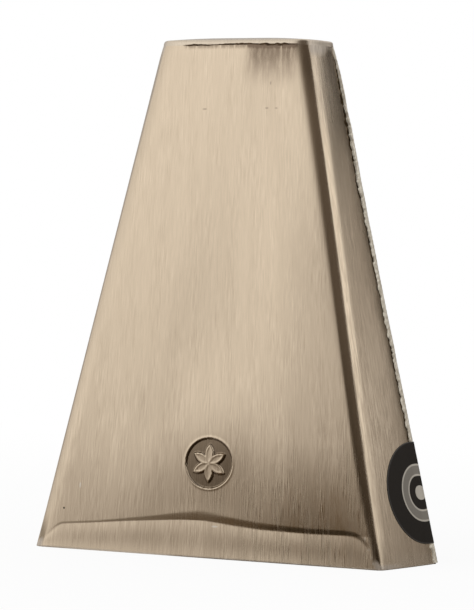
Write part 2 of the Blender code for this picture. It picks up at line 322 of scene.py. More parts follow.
class Finish:
    """One node tree and the ways to add to it."""

    def __init__(self, tree):
        self.tree = tree
        tree.nodes.clear()

    def node(self, kind, settings=None, sockets=None, out=0):
        """A new node of that kind: its settings first, then its sockets by name or number."""
        node = self.tree.nodes.new("ShaderNode" + kind)
        for name, value in (settings or {}).items():
            if name == "stops":
                ramp_stops(node.color_ramp, value)
            else:
                setattr(node, name, value)
        for name, term in (sockets or {}).items():
            plug(node.inputs[name], term)
        return Value(node.outputs[out]) if len(node.outputs) else None

    def attribute(self, name, out):
        return self.node("Attribute", {"attribute_name": name}, out=out)

    def stretch(self, vector, scale):
        return self.node("VectorMath", {"operation": "MULTIPLY"}, {0: vector, 1: scale})

    def length(self, vector):
        return self.node("VectorMath", {"operation": "LENGTH"}, {0: vector}, out="Value")

    def noise(self, vector, counts, detail, roughness):
        place = self.stretch(vector, counts)
        sockets = {"Vector": place, "Scale": 1.0, "Detail": detail, "Roughness": roughness}
        return self.node("TexNoise", None, sockets)

    def step(self, value, low, high, start=0.0, end=1.0):
        """Goes smoothly from start to end as value goes from low to high."""
        settings = {"interpolation_type": "SMOOTHSTEP"}
        return self.node("MapRange", settings, {0: value, 1: low, 2: high, 3: start, 4: end})

    def sweep(self, angle, low, high):
        """A step of an angle in radians, from low to high in degrees."""
        return self.step(angle, math.radians(low), math.radians(high))

    def window(self, value, low, full, fade, high):
        """1 where value is between full and fade, and 0 outside low and high."""
        return self.step(value, low, full) * self.step(value, high, fade)

    def sector(self, angle, *places):
        """A window on an angle in radians, with its four places in degrees."""
        return self.window(angle, *map(math.radians, places))

    def blend(self, share, first, second):
        """The colour that is share of the way from first to second."""
        return self.node("Mix", {"data_type": "RGBA"}, {0: share, 6: first, 7: second}, out=2)

    def tint(self, share, first, second):
        """The first colour multiplied by a share of the second."""
        settings = {"data_type": "RGBA", "blend_type": "MULTIPLY"}
        return self.node("Mix", settings, {0: share, 6: first, 7: second}, out=2)

    def split(self, vector):
        return [self.node("SeparateXYZ", None, {0: vector}, out=axis) for axis in range(3)]

    def relief(self, height, strength, distance):
        return self.node("Bump", None, {"Strength": strength, "Distance": distance, "Height": height})

    def seen(self):
        """1 for a ray that shows the stage, straight on, mirrored or through something, and 0 for light."""
        rays = ("Is Camera Ray", "Is Glossy Ray", "Is Transmission Ray")
        straight, mirrored, through = (self.node("LightPath", out=ray) for ray in rays)
        return straight + mirrored + through


def ramp_stops(ramp, stops):
    while len(ramp.elements) > 1:
        ramp.elements.remove(ramp.elements[-1])
    for index, (position, colour) in enumerate(stops):
        element = ramp.elements[0] if index == 0 else ramp.elements.new(position)
        element.position = position
        element.color = (*colour, 1.0)


def new_finish(name):
    material = bpy.data.materials.new(name)
    material.use_nodes = True
    return material, Finish(material.node_tree)


def close_finish(finish, sockets):
    """Ends a material with a Principled shader that has those sockets."""
    shader = finish.node("BsdfPrincipled", None, sockets)
    finish.node("OutputMaterial", None, {"Surface": shader})


def brushed_steel(name, light, dark):
    """Steel brushed from mouth to crown.

    The brush attribute runs across and along the strokes, in metres. Its third part keeps the front's marks
    off where it is 1. The wear_and_painted_light attribute says how sunk a place is, how much soot and
    painted shade it has, and whether it is inside. The ground attribute says how far a place is ground or
    worn bare, which along the rim is partly a painted highlight.
    """
    material, f = new_finish(name)
    brush = f.attribute("brush", "Vector")
    across, along, rear = f.split(brush)
    front = 1.0 - rear
    sunk, soot_and_shade, inside = f.split(f.attribute("wear_and_painted_light", "Vector"))
    ground = f.attribute("ground", "Fac")
    flank = f.step(f.node("Math", {"operation": "ABSOLUTE"}, {0: across}), *FLANK_STARTS)
    lean = (BRUSH_LEAN + BRUSH_FAN * across) * along * (1.0 - flank)
    way = f.node("CombineXYZ", None, {0: across + lean, 1: along, 2: rear})
    grain, scratch = brush_strokes(f, way, across, along, flank)
    tone = 0.5 + 2.6 * grain
    drip = f.noise(way, DRIPS, 4.0, 0.65)
    stain = crown_stain(f, across, along, drip) * front
    soot = soot_and_shade * f.step(drip, 0.25, 0.6, 0.5, 1.0)
    marked = (marks(f, brush, PITS) + 0.3 * marks(f, brush, NICKS)) * front
    flecked = (marks(f, brush, FLECKS) + 0.6 * marks(f, brush, FAINT_FLECKS)) * front

    colour = f.blend(tone, dark, light)
    colour = f.blend(0.5 * scratch, colour, SCRATCH_BROWN)
    colour = f.blend(0.92 * stain, colour, STAIN_BROWN)
    # Soot beside the seams, and painted shade on the upper flanges, on the folds near the crown and the rim
    # and on each panel's right side
    colour = f.blend(0.8 * soot, colour, SOOT_AND_SHADE_BROWN)
    # Dark patina and painted shade in the stamped field
    colour = f.blend(0.8 * sunk, colour, STAMP_BROWN)
    colour = f.blend(0.5 * inside, colour, INSIDE_GREY)
    # Bare metal: ground under the crown, and at the rim and its folds partly wear and partly a painted
    # highlight
    colour = f.blend(ground, colour, f.blend(tone, GROUND_DARK, GROUND_LIGHT))
    colour = f.blend(marked, colour, PIT_BLACK)
    colour = f.blend(0.5 * flecked, colour, FLECK_PALE)

    roughness = 0.24 - 0.05 * tone + 0.08 * stain + 0.18 * inside + 0.2 * ground
    metallic = 1.0 - 0.4 * ground
    relief = f.relief(grain - 0.6 * marked, 0.12, GRAIN_RELIEF)
    close_finish(f, {"Base Color": colour, "Metallic": metallic, "Roughness": roughness, "Normal": relief})
    return material


def brush_strokes(f, way, across, along, flank):
    """The grain of the strokes, and the dark scratches where the lower right is rubbed."""
    hair = f.noise(way, HAIRS, 1.5, 0.6) - 0.5
    stroke = f.noise(way, STROKES, 2.0, 0.5) - 0.5
    band = f.noise(way, BANDS, 2.0, 0.5) - 0.5
    patch = f.step(f.noise(way, PATCHES, 2.0, 0.5), 0.35, 0.65, 0.5, 1.5)
    scrubbed = f.step(along, *SCRUBBED_UP)
    rubbed = f.step(along, *RUBBED_UP) * f.window(across, *RUBBED_ACROSS)
    handled = 0.85 + 0.75 * scrubbed + 3.8 * rubbed + 1.5 * flank
    grain = (0.5 * hair + 0.3 * stroke) * patch * handled + (0.22 + 1.9 * rubbed) * band
    return grain, f.step(hair * patch, 0.08, 0.2) * rubbed


def crown_stain(f, across, along, drip):
    """Heat stain under the crown: a broad patch right of the middle, and a thin line along the joint."""
    broad = f.window(across, *BROAD_STAIN_ACROSS) * f.step(along, *BROAD_STAIN_UP)
    thin = f.window(across, *THIN_STAIN_ACROSS) * f.step(along, *THIN_STAIN_UP)
    return broad * f.step(drip, 0.2, 0.6, 0.25, 1.0) + 0.7 * thin * f.step(drip, 0.3, 0.55)


def marks(f, brush, places):
    """Soft marks, at places listed as the pits are."""
    total = 0.0
    for across, along, half_width, half_height in places:
        middle = (across * MM, along * MM, 0.0)
        away = f.node("VectorMath", {"operation": "SUBTRACT"}, {0: brush, 1: middle})
        away = f.stretch(away, (1.0 / (half_width * MM), 1.0 / (half_height * MM), 0.0))
        total = total + f.step(f.length(away), 1.0, 0.5)
    return total


def speckled(name, specks, colours, roughness, relief, fixed):
    """A finish of fine specks.

    Specks are given as how many there are to a metre along each axis, their noise's detail and roughness,
    and the values of it that are dark and light. Roughness is a start and what a speck adds to it.
    """
    counts, detail, rough, dark, light = specks
    material, f = new_finish(name)
    speck = f.noise(f.node("TexCoord", out="Object"), counts, detail, rough)
    colour = f.blend(f.step(speck, dark, light), *colours)
    start, added = roughness
    sockets = {"Base Color": colour, "Roughness": start + added * speck}
    sockets["Normal"] = f.relief(speck, relief, GRAIN_RELIEF)
    close_finish(f, sockets | fixed)
    return material


def weld_metal():
    """Bare weld bead, lightly ground."""
    specks = ((900.0, 900.0, 420.0), 4.0, 0.65, 0.38, 0.62)
    return speckled("weld_metal", specks, WELD_GREYS, (0.34, 0.2), 0.2, {"Metallic": 0.55})


def weld_scale():
    """Burnt scale and pits along the toe of a weld."""
    specks = ((1500.0, 1500.0, 700.0), 3.0, 0.6, 0.3, 0.75)
    return speckled("weld_scale", specks, SCALE_BLACKS, (0.9, -0.2), 0.5, {"Specular IOR Level": 0.08})


def joint_soot():
    """Brown soot in the line that is left open under the cap."""
    specks = ((1100.0, 1100.0, 1100.0), 3.0, 0.6, 0.35, 0.7)
    return speckled("joint_soot", specks, JOINT_BROWNS, (0.95, -0.1), 0.5, {"Specular IOR Level": 0.15})


def label_vinyl():
    """Black vinyl printed with a silver ring and spot. The print attribute is in mm from its middle."""
    material, f = new_finish("label_vinyl")
    place = f.attribute("print", "Vector")
    radius = f.length(place)
    ring, ring_fill = (
        f.window(radius, inner, inner + PRINT_EDGE, outer - PRINT_EDGE, outer)
        for inner, outer in (PRINT_RING, PRINT_RING_FILL))
    ink = ring + f.step(radius, PRINT_SPOT, PRINT_SPOT - PRINT_EDGE)
    fleck = f.noise(place, (6.0, 6.0, 1.0), 3.0, 0.6)
    silver, grey, black = (f.blend(fleck, *pair) for pair in (PRINT_SILVERS, PRINT_GREYS, VINYL_BLACKS))
    colour = f.blend(ink, black, f.blend(ring_fill, silver, grey))
    # A painted highlight round the label's edge
    colour = f.blend(f.step(radius, EDGE_HIGHLIGHT_FROM, EDGE_HIGHLIGHT_FROM + PRINT_EDGE), colour, VINYL_EDGE_HIGHLIGHT)
    sockets = {"Base Color": colour, "Metallic": 0.5 * ink, "Roughness": 0.42 + 0.1 * fleck}
    sockets["Normal"] = f.relief(fleck, 0.1, VINYL_RELIEF)
    sockets["Specular IOR Level"] = 0.22
    close_finish(f, sockets)
    return material


def ease(share):
    share = np.clip(share, 0.0, 1.0)
    return share * share * (3.0 - 2.0 * share)


def climb(value, low, high):
    """Goes smoothly from 0 to 1 as value goes from low to high, whichever of them is greater."""
    return ease((value - low) / (high - low))


def hump(value, middle, width):
    """1 at the middle, dying away to both sides over about that width."""
    return np.exp(-(((value - middle) / width) ** 2))


def between(start, end, share):
    return start + (end - start) * share


def read_off(pairs, place):
    """The value at a place, on straight lines between pairs of (place, value)."""
    return np.interp(place, *np.array(pairs, float).T)


def wander(position, pitch, seed):
    """Smooth noise from -1 to 1 along a line, with a new value at each pitch."""
    table = np.random.default_rng(seed).uniform(-1.0, 1.0, 512)
    place = np.asarray(position, float) / pitch
    cell = np.floor(place).astype(int)
    return between(table[cell % 512], table[(cell + 1) % 512], ease(place - cell))


def smooth_line(points, position):
    """A line through points, rounded over 2 mm to each side."""
    return np.mean([read_off(points, position + step) for step in np.linspace(-2.0, 2.0, 9)], axis=0)


def fold_run(turn, height):
    """Direction, way along and way aside at each step of a fold of unit length that ends at that turn."""
    shares = np.linspace(0.0, 1.0, FOLD_STEPS + 1)
    rim, low, crown = (read_off(bend, shares) for bend in (RIM_FOLD_BEND, LOW_FOLD_BEND, CROWN_FOLD_BEND))
    height = np.asarray(height)[..., None]
    bend = between(rim, low, ease(height / RIM_FOLD_REACH))
    bend = between(bend, crown, np.clip(height / SHELL_HEIGHT, 0.0, 1.0))
    direction = np.asarray(turn)[..., None] * bend
    middle = (direction[..., 1:] + direction[..., :-1]) / 2.0
    start = np.zeros_like(direction[..., :1])
    along = np.concatenate([start, np.cumsum(np.cos(middle), axis=-1) / FOLD_STEPS], axis=-1)
    aside = np.concatenate([start, np.cumsum(np.sin(middle), axis=-1) / FOLD_STEPS], axis=-1)
    return direction, along, aside


class Section:
    """The level section of the bell at given heights, moved in by given insets (arrays in mm).

    Its methods give place across and out, direction across and out, stroke place, and fold place, which is
    0 on the panel, 1 where the fold ends and 2 at the seam, all at a share of one stretch of the section.
    """

    def __init__(self, height, inset):
        share = height / SHELL_HEIGHT
        up_ground = np.clip((height - GROUND_FROM) / (SHELL_HEIGHT - GROUND_FROM), 0.0, 1.0)
        inset = inset + GROUND_AWAY * up_ground ** 2
        self.depth = between(MOUTH_HALF_DEPTH, CROWN_HALF_DEPTH, share) - inset
        overhang = (self.depth + inset) / math.tan(FOLD_TURN)
        half_face = between(MOUTH_HALF_FACE, CROWN_HALF_FACE, share)
        self.reach = half_face + overhang - inset / math.sin(FOLD_TURN)
        self.fold = between(MOUTH_FOLD_LENGTH, CROWN_FOLD_LENGTH, share) - inset * FOLD_TURN
        corner = self.reach - self.depth / math.tan(FOLD_TURN)
        slope = between(MOUTH_FLANGE_BELLY, CROWN_FLANGE_BELLY, np.clip(share, 0.0, 1.0) ** BELLY_GROWTH)
        self.run = fold_run(FOLD_TURN - np.arctan(slope), height)
        beyond = self.fold * self.run[2][..., -1] / math.sin(FOLD_TURN)
        self.flat = corner - (self.fold * self.run[1][..., -1] - beyond * math.cos(FOLD_TURN))
        self.flange = self.depth / math.sin(FOLD_TURN) - beyond
        self.belly = slope * self.flange

    def panel(self, share):
        x = share * self.flat
        return x, -self.depth, 0.0 * x, -1.0 + 0.0 * x, x, 0.0 * x

    def rolled(self, side, share):
        turn, along, aside = (part[..., round(share * FOLD_STEPS)] for part in self.run)
        x = self.flat + self.fold * along
        y = -self.depth + self.fold * aside
        stroke = np.where(share < FOLD_CREST, x, FLANK_PLACE + share * self.fold)
        return side * x, y, side * np.sin(turn), -np.cos(turn), side * stroke, share + 0.0 * x

    def side_flange(self, side, share):
        away = self.flange * (1.0 - share)
        belly = self.belly * share * (1.0 - share)
        tilt = np.arctan(self.belly * (2.0 * share - 1.0) / np.maximum(self.flange, 1.0))
        x = self.reach - away * math.cos(FOLD_TURN) + belly * math.sin(FOLD_TURN)
        y = -away * math.sin(FOLD_TURN) - belly * math.cos(FOLD_TURN)
        stroke = side * (FLANK_PLACE + self.fold + self.flange * share)
        turn = FOLD_TURN + tilt
        return side * x, y, side * np.sin(turn), -np.cos(turn), stroke, 1.0 + share + 0.0 * x


def panel_place(x, z):
    """Place across a broad panel: -1 at its left corner and 1 at its right one."""
    return x / between(MOUTH_HALF_FACE, CROWN_HALF_FACE, z / SHELL_HEIGHT)


def crease_press(x, z):
    """Outward offset of a broad panel from the crease above the mouth and the lip below it (mm)."""
    line = smooth_line(CREASE_LINE, x)
    slope = smooth_line(CREASE_LINE, x + 0.5) - smooth_line(CREASE_LINE, x - 0.5)
    gap = (z - line) / np.sqrt(1.0 + slope * slope)
    width = read_off(CREASE_WIDTHS, x)
    keen = np.clip(1.0 - gap / width, 0.0, 1.0) ** 1.5
    soft = 1.0 - ease(gap / width + 0.15)
    groove = between(keen, soft, climb(x, *CREASE_SOFTENS))
    share = np.clip((line - z) / np.maximum(line, 1.0), 0.0, 1.0)
    lip = read_off(LIP_WAVES, x) * np.sin(2.0 * math.pi * share) - read_off(LIP_TURNS, x) * share
    return lip - read_off(CREASE_DEPTHS, x) * groove


def panel_swell(x, z):
    """Outward offset where the press has raised the panel above the crease (mm)."""
    gap = z - smooth_line(CREASE_LINE, np.clip(x, -SWELL_HALF_WIDTH, SWELL_HALF_WIDTH))
    raised = 1.0 - np.clip(1.0 - gap / SWELL_REACH, 0.0, 1.0) ** 2
    height = read_off(SWELL_HEIGHTS, MOUTH_HALF_FACE * panel_place(x, z))
    return height * raised * climb(z, SWELL_GONE_AT, SWELL_FULL_TO)


def panel_waves(x, z):
    """The slight unevenness of a hand-finished panel: shallow waves, and broad hollows and rises (mm)."""
    waves = sum(height * np.sin(x / across + z / up + start) for height, across, up, start in PANEL_WAVES)
    by_stamp = hump(np.maximum(z, 46.0), 46.0, 28.0)
    fade = climb(z, 195, 85)
    middle = 0.4 * by_stamp * climb(z, 18, 44) - 0.75 * (1.0 - by_stamp) * fade
    left = -0.7 * (1.0 - hump(np.maximum(z, 28.0), 28.0, 34.0)) * fade
    right = -0.35 * climb(panel_place(x, z), 0.2, 0.9) * hump(z, 118, 42)
    beside_stamp = -0.2 * hump(x, -27, 9) * hump(z, 50, 15)
    return waves + middle * hump(x, 0, 22) + left * hump(x, -50, 15) + right + beside_stamp


def stamp_distance(x, z):
    """Signed distance to the sunk round field, which leaves a six-petalled rosette standing (mm)."""
    up = z - STAMP_HEIGHT
    rosette = np.full_like(x, 99.0)
    bow = PETAL_LENGTH * PETAL_LENGTH / PETAL_WIDTH / 4.0 + PETAL_WIDTH / 4.0
    for turn in np.radians(np.arange(30.0, 390.0, 60.0)):
        along = x * np.cos(turn) + up * np.sin(turn) - PETAL_LENGTH / 2.0
        aside = np.abs(up * np.cos(turn) - x * np.sin(turn))
        rosette = np.minimum(rosette, np.hypot(along, aside + bow - PETAL_WIDTH / 2.0) - bow)
    return np.maximum(np.hypot(x, up) - STAMP_FIELD, PETAL_MARGIN - rosette)


def stamp_press(x, z):
    """Outward offset in and round the stamped field (mm), and how sunk a place is from 0 to 1."""
    distance = stamp_distance(x, z)
    burr = STAMP_BURR * hump(distance, 0.5, 0.45)
    return burr - STAMP_DEPTH * ease(0.5 - distance / STAMP_WALL), ease(0.6 - distance / STAMP_WALL)


def shell_soot_and_shade(section, x, level, folded):
    """Share of soot by the seam, and of painted shade up the flanges and folds, at the rim and on each
    panel's right side.

    Levels are heights in mm, and folded is the fold place that Section gives.
    """
    toe = np.maximum(section.flange * np.clip(2.0 - folded, 0.0, 1.0) - read_off(BEAD_TOES, level), 0.0)
    seam = np.exp(-toe / read_off(SOOT_REACHES, level)) * between(1.9, 1.0, climb(level, 90, 140))
    seam = np.minimum(seam, 1.0) * between(0.35, 1.0, climb(level, 6, 16))
    # Painted shade on the upper flanges, on the right-hand fold and its crest near the crown, on the fold
    # bands at the rim and on the panel's right side
    flange = 0.6 * climb(folded, 1.05, 1.55) * climb(level, 150, 180)
    fold = 0.45 * climb(folded, 0.22, 0.42) * climb(folded, 0.66, 0.62) * climb(level, 176, 192)
    crest = 0.3 * climb(folded, 0.62, 0.67) * climb(folded, 1.3, 1.1) * climb(level, 160, 180)
    rim = climb(folded, 0.4, 0.5) * between(0.3, 1.0, climb(folded, 0.7, 0.65)) * climb(folded, 1.0, 0.8)
    rim = rim * climb(level, 15, 5) * climb(level, 1.5, 3.5)
    panel_edge_shade = 0.2 * climb(panel_place(x, level), 0.4, 0.7) * climb(folded, 0.4, 0.2) * hump(level, 108, 30)
    one_sided = np.where(folded > 1.0, seam, 0.0) + np.where(x > 0.0, fold, 0.0)
    return np.clip(one_sided + flange + crest + rim + panel_edge_shade, 0.0, 1.0)


def shell_ground_and_rim_highlight(level, folded, insets):
    """How far the sheet is ground bare under the crown, and made bare at the rim's edge and its folds,
    partly as wear and partly as a painted highlight.
    """
    arch = 197.4 - 2.6 * (np.clip(folded - 1.0, 0.0, 1.0) - 0.65) ** 2 / 0.16
    bare_from = np.maximum(arch, 194.5)
    crown = between(0.25 * climb(level, 160, 185), 1.0, climb(level, bare_from, bare_from + 3.5))
    # The rim's bottom edge is made bare, partly as wear and partly as a painted highlight
    ground = np.maximum(crown * climb(folded, 0.62, 0.68), 0.85 * climb(level, 0.8, 0.3))
    # A bare strip along the rim over the folds and flanges: partly wear, partly a painted highlight where
    # the rim flares
    worn_and_lit_to = 2.8 + 1.6 * climb(folded, 0.68, 0.56)
    wear_and_painted_light = climb(level, worn_and_lit_to, worn_and_lit_to - 1.8) * climb(folded, 0.4, 0.55) * climb(folded, 1.5, 1.0)
    wear_and_painted_light = np.maximum(wear_and_painted_light, 0.2 * climb(level, 8, 2) * climb(folded, 1.0, 1.2))
    return np.maximum(ground, np.where(insets < OUTSIDE_TO, wear_and_painted_light, 0.0))


def grid_faces(rows, columns, wrap_rows=False, wrap_columns=False):
    row = np.arange(rows if wrap_rows else rows - 1)
    column = np.arange(columns if wrap_columns else columns - 1)
    low, left = np.meshgrid(row, column, indexing="ij")
    high, right = (low + 1) % rows, (left + 1) % columns
    corners = (low * columns + left, low * columns + right, high * columns + right, high * columns + left)
    return np.stack([corner.ravel() for corner in corners], axis=1)


def end_caps(points):
    """Vertex numbers of the first and last rows, as two faces that close a tube."""
    rows, columns = points.shape[:2]
    return [np.arange(columns), np.arange(columns)[::-1] + (rows - 1) * columns]


def grid_object(name, points, wrap_rows=False, wrap_columns=False, caps=(), values=None, sharp=40, turn=0.0):
    """An object from a grid of points in mm. Caps are arrays of vertex numbers, each closed by one face."""
    rows, columns = points.shape[:2]
    faces = grid_faces(rows, columns, wrap_rows, wrap_columns).tolist() + [cap.tolist() for cap in caps]
    mesh = bpy.data.meshes.new(name)
    mesh.from_pydata((points.reshape(-1, 3) * MM).tolist(), [], faces)
    for title, data in (values or {}).items():
        kind, field = ("FLOAT_VECTOR", "vector") if data.ndim == 3 else ("FLOAT", "value")
        mesh.attributes.new(title, kind, "POINT").data.foreach_set(field, data.astype(np.float32).ravel())
    bm = bmesh.new()
    bm.from_mesh(mesh)
    bmesh.ops.recalc_face_normals(bm, faces=bm.faces)
    bm.to_mesh(mesh)
    bm.free()
    mesh.shade_smooth()
    mesh.set_sharp_from_angle(angle=math.radians(sharp))
    made = bpy.data.objects.new(name, mesh)
    made.rotation_euler.z = turn
    bpy.context.scene.collection.objects.link(made)
    return made


def tube(name, rows, turn, sharp=40):
    """A closed tube from rows of points that run along it, turned about the bell's middle."""
    points = np.stack(rows, axis=1)
    return grid_object(name, points, wrap_columns=True, caps=end_caps(points), sharp=sharp, turn=turn)


def dress(piece, material, slot, *nodes):
    """Gives a piece its finish, hangs it on the root body and hides the parts that it stands in for."""
    piece.data.materials.append(material)
    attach(piece, "root")
    if nodes:
        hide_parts(*nodes)


def spaced(runs):
    """Stations from runs of (start, end, count), with no station twice."""
    return np.unique(np.round(np.concatenate([np.linspace(*run) for run in runs]), 6))


def half_shell(name, stamped, turn):
    """One pressed half with its thickness: outside up, over the top edge, inside down and round the rim."""
    levels = spaced(FRONT_LEVELS if stamped else REAR_LEVELS)
    places = spaced(FRONT_PLACES if stamped else REAR_PLACES)
    inner = spaced(INSIDE_LEVELS)[::-1]
    rim_insets, rim_levels = np.array(RIM_EDGE).T
    heights = np.concatenate([levels, inner, rim_levels])[:, None]
    insets = np.concatenate([0.0 * levels, 0.0 * inner + SHEET, rim_insets])[:, None]
    section = Section(heights, insets)

    fold = np.linspace(0.02, 1.0, 26)
    flange = np.linspace(0.0, 1.0, 18)[1:]
    columns = [section.side_flange(-1, share) for share in flange[::-1]]
    columns += [section.rolled(-1, share) for share in fold[::-1]]
    columns += [section.panel(share) for share in places]
    columns += [section.rolled(1, share) for share in fold]
    columns += [section.side_flange(1, share) for share in flange]
    x, y, out_x, out_y, stroke, folded = (
        np.concatenate([0.0 * heights + column[part] for column in columns], axis=1) for part in range(6))
    level = heights + 0.0 * x

    offset = (crease_press(x, level) + panel_waves(x, level)) * climb(folded, 0.9, 0.4)
    offset = offset + np.where(folded < 1.0, panel_swell(x, level), 0.0)
    sunk = np.zeros_like(x)
    if stamped:
        outside = (insets == 0.0) & (folded == 0.0)
        press, depth = stamp_press(x, level)
        offset = offset + np.where(outside, press, 0.0)
        sunk = np.where(outside, depth, 0.0)
    points = np.stack([x + offset * out_x, y + offset * out_y, level], axis=2)

    inside = climb(insets, OUTSIDE_TO, INSIDE_FROM) + 0.0 * x
    values = {
        "brush": np.stack([stroke * MM, level * MM, 0.0 * x + (0.0 if stamped else 1.0)], axis=2),
        "wear_and_painted_light": np.stack([sunk, shell_soot_and_shade(section, x, level, folded), inside], axis=2),
        "ground": shell_ground_and_rim_highlight(level, folded, insets),
    }
    count = points.shape[1]
    first = np.arange(points.shape[0]) * count
    caps = [first, (first + count - 1)[::-1]]
    return grid_object(name, points, wrap_rows=True, caps=caps, values=values, turn=turn)


def ring_points(height, inset, scale=1.0, level=None, bulge=0.0):
    """The whole section as a closed ring of points, at its height or another level, bulging at the seams."""
    section = Section(np.array([[height]]), np.array([[inset]]))
    panel = np.linspace(-1.0, 1.0, 25)[1:-1]
    chain = [section.panel(share) for share in panel]
    chain += [section.rolled(1, share) for share in np.linspace(0.0, 1.0, 15)]
    chain += [section.side_flange(1, share) for share in np.linspace(0.0, 1.0, 7)[1:]]
    right = [(across.item(), out.item()) for across, out, *_ in chain]
    left = [(-across, out) for across, out in right[len(panel):-1][::-1]]
    front = np.array(left + right)
    plan = np.concatenate([front, -front]) * scale
    plan[:, 0] += np.sign(plan[:, 0]) * bulge * hump(plan[:, 1], 0, WELDED_END_WIDTH)
    lift = height if level is None else level
    return np.column_stack([plan, np.full(len(plan), lift)])


def crown_ground(x, y):
    """How far the crown's narrow ends are ground bare."""
    off_panels = climb(np.abs(y), CROWN_HALF_DEPTH - 1.0, CROWN_HALF_DEPTH - 2.5)
    return 0.8 * off_panels * climb(np.abs(x), 28.0, 31.0)


def crown_cap():
    """The domed cap: a thin pressed lid with a leaning side and a rounded shoulder, its underside hollow."""
    base = SHELL_HEIGHT + CROWN_JOINT
    lean = math.radians(CAP_LEAN)
    rings = []
    for scale in (0.03, 0.3, 0.6, 0.85, 1.0):
        rings.append(ring_points(base, SHEET, scale, base + CAP_HOLLOW * (1.0 - scale * scale)))
    for rise in np.linspace(0.0, CAP_SIDE, 4)[:-1]:
        rings.append(ring_points(base, rise * math.tan(lean), level=base + rise, bulge=WELDED_END))
    for angle in np.linspace(lean, math.pi / 2, 9):
        inset = CAP_SIDE * math.tan(lean) + CAP_SHOULDER * (math.cos(lean) - math.cos(angle))
        level = base + CAP_SIDE + CAP_SHOULDER * (math.sin(angle) - math.sin(lean))
        rings.append(ring_points(base, inset, level=level, bulge=WELDED_END * math.cos(angle)))
    for scale in (0.93, 0.8, 0.65, 0.5, 0.35, 0.2, 0.08, 0.02):
        rings.append(ring_points(base, inset, scale, level + CAP_RISE * (1.0 - scale * scale)))
    points = np.stack(rings)
    x, y, z = np.moveaxis(points, 2, 0)
    brush = np.stack([x * MM, 0.4 + (y + z) * MM, 1.0 + 0.0 * x], axis=2)
    values = {"brush": brush, "ground": crown_ground(x, y)}
    return grid_object("crown_cap_plate", points, wrap_columns=True, caps=end_caps(points), values=values)


def crown_joint():
    """The ground weld that fills the joint under the cap, flush with the sheet."""
    corners = ((0.0, -CROWN_JOINT), (0.0, CROWN_JOINT), (SHEET, CROWN_JOINT), (SHEET, -CROWN_JOINT))
    points = np.stack([ring_points(SHELL_HEIGHT + lift, inset, bulge=WELDED_END) for inset, lift in corners])
    x, y, z = np.moveaxis(points, 2, 0)
    brush = np.stack([x * MM, z * MM, np.where(y > 0.0, 1.0, 0.0)], axis=2)
    values = {"brush": brush, "ground": crown_ground(x, y)}
    return grid_object("crown_joint_fill", points, wrap_rows=True, wrap_columns=True, values=values)


def crown_slit(name, start, end, seed, turn):
    """The ragged dark line that grinding has left open along the joint, on one broad side."""
    x = np.linspace(start, end, 240)
    taper = climb(x, start, start + SLIT_TAPER) * climb(x, end, end - SLIT_TAPER)
    middle = SHELL_HEIGHT - 0.4 + 0.5 * (x - start) / (end - start)
    middle = middle + 0.22 * wander(x, 6.0, seed) + 0.14 * wander(x, 1.6, seed + 1)
    half = (0.15 + 0.85 * taper) * (0.56 + 0.2 * wander(x, 2.6, seed + 2) + 0.12 * wander(x, 0.8, seed + 3))
    half = np.maximum(half, 0.03)
    depth = Section(middle, 0.0 * middle).depth
    profile = ((-1.0, -0.3), (-0.8, 0.03), (0.8, 0.03), (1.0, -0.3))
    rows = [np.column_stack([x, -(depth + lift), middle + half * share]) for share, lift in profile]
    return tube(name, rows, turn)


def seam_points(height, along, lift, facing=0.0):
    """Points lifted off the right-hand flanges, along mm from the seam (front below 0).

    They are lifted square to the sheet where facing is 0, and straight out from the seam where it is 1.
    """
    section = Section(height, 0.0 * height)
    share = np.clip(1.0 - np.abs(along) / section.flange, 0.0, 1.0)
    x, y, out_x, out_y, _, _ = section.side_flange(1, share)
    side = np.where(along > 0.0, -1.0, 1.0)
    out_x, out_y = between(out_x, 1.0, facing), between(out_y * side, 0.0, facing)
    return np.stack([x + out_x * lift, y * side + out_y * lift, height], axis=-1)


def toe_line(z, seed):
    """Ragged edge of a bead, measured from the seam (mm)."""
    return read_off(BEAD_TOES, z) + 0.42 * wander(z, 2.3, seed) + 0.2 * wander(z, 0.8, seed + 1)


def toe_notch(z, seed):
    """How far a bead's edge draws back under each of its ripples, most of all near the crown (mm)."""
    strength = between(0.45, 1.0, climb(z, 120, 170)) * climb(z, NOTCHES_GONE_AT, NOTCHES_FULL_TO)
    ripple = (-z / NOTCH_PITCH + 0.9 * wander(z, 6.0, seed + 6)) % 1.0
    return 1.25 * strength * (0.75 + 0.5 * wander(z, 4.7, seed + 9)) * ripple ** 1.3


def seam_bead(name, turn, seed):
    """A hand-laid bead up a side seam, with ripples across it and ragged toes."""
    z = np.linspace(BEAD_FOOT, SHELL_TOP, 640)
    front, rear = (np.maximum(toe_line(z, run) - toe_notch(z, run), 0.1) for run in (seed, seed + 2))
    crest = read_off(BEAD_CRESTS, z) * (1.0 + 0.18 * wander(z, 7.0, seed + 5))
    rows = []
    for share in np.linspace(-1.0, 1.0, 11):
        along = share * np.where(share < 0.0, front, rear)
        phase = 2.0 * math.pi * (z / RIPPLE_PITCH + 0.35 * share * share) + 1.5 * wander(z, 6.0, seed + 4)
        lift = 0.02 + (crest + 0.04 * np.sin(phase)) * math.sqrt(max(0.0, 1.0 - share * share))
        rows.append(seam_points(z, along, lift, 1.0 - abs(share)))
    root = Section(z, 0.0 * z).reach - SHEET - 0.5
    for y in (0.7, -0.7):
        rows.append(np.column_stack([root, 0.0 * z + y, z]))
    return tube(name, rows, turn, sharp=60)


